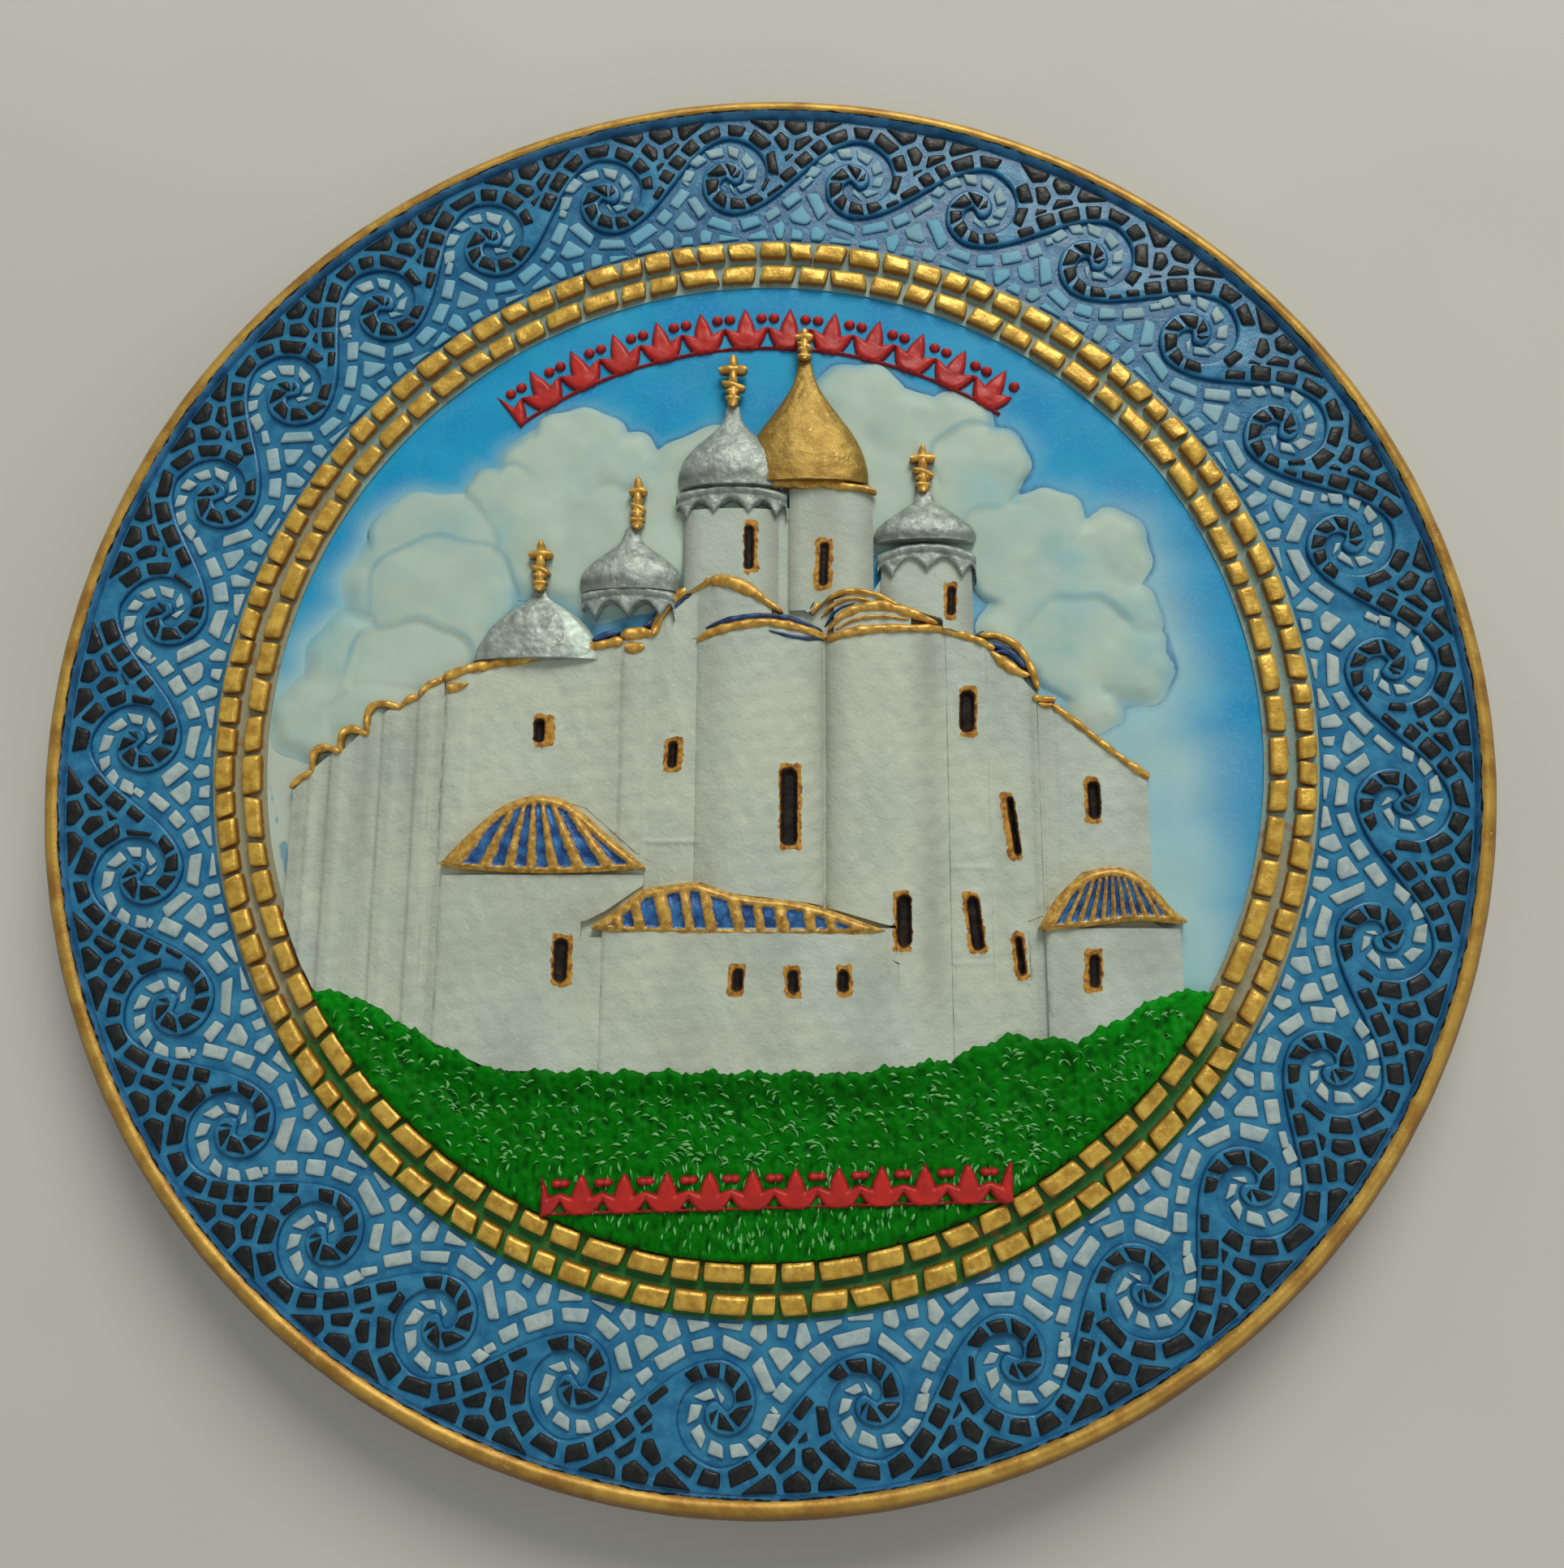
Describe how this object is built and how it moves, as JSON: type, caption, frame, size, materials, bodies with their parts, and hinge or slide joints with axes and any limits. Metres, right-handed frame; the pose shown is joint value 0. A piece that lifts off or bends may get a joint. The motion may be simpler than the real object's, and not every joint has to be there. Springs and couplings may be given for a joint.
{
  "type": "souvenir relief plate",
  "caption": "Round painted relief plate with a gold rim, a mosaic border of running waves, gold brick rings and a white domed cathedral on a green lawn.",
  "frame": {"origin": "centre of the plane that the foot ring stands on", "axes": "+Z out of the painted face, +Y towards the top of the picture, +X to the picture's right"},
  "size_m": [0.203, 0.203, 0.0153],
  "materials": {
    "bare_casting": "matte",
    "border_blue": "satin",
    "border_dark": "satin",
    "gold_paint": "satin",
    "dome_gold": "satin",
    "silver_foil": "satin",
    "whitewash": "matte",
    "cloud_white": "matte",
    "sky_blue": "satin",
    "lawn_green": "satin",
    "roof_blue": "satin",
    "red_enamel": "satin",
    "galvanised_wire": "satin"
  },
  "bodies": {
    "root": {"plate_body": "bare_casting", "rim_lip": "gold_paint", "hanging_loop": "galvanised_wire", "border_light_field": "border_blue", "border_dark_waves": "border_dark", "outer_brick_row": "gold_paint", "inner_brick_row": "gold_paint", "sky_disc": "sky_blue", "cloud_bank": "cloud_white", "lawn": "lawn_green", "gold_dome": "dome_gold", "upper_garland": "red_enamel", "lower_garland": "red_enamel", "north_roof": "roof_blue", "north_roof_frame": "gold_paint", "chancel_roof": "roof_blue", "chancel_roof_frame": "gold_paint", "south_roof": "roof_blue", "south_roof_frame": "gold_paint", "fluted_wall": "whitewash", "north_wall": "whitewash", "north_pilaster": "whitewash", "north_bay": "whitewash", "chancel_wall": "whitewash", "south_apse": "whitewash", "south_bay": "whitewash", "south_wing": "whitewash", "north_gable": "whitewash", "south_gable": "whitewash", "north_apse": "whitewash", "chancel_apse": "whitewash", "south_low_apse": "whitewash", "great_drum": "whitewash", "gold_drum": "whitewash", "south_drum": "whitewash", "north_roof_trim": "gold_paint", "north_gable_trim": "gold_paint", "chancel_trim": "gold_paint", "south_gable_trim": "gold_paint", "south_roof_trim": "gold_paint", "great_cross": "gold_paint", "gold_cross": "gold_paint", "south_cross": "gold_paint", "north_cross": "gold_paint", "far_north_cross": "gold_paint", "great_dome": "silver_foil", "south_dome": "silver_foil", "north_dome": "silver_foil", "far_north_dome": "silver_foil"}
  },
  "joints": []
}
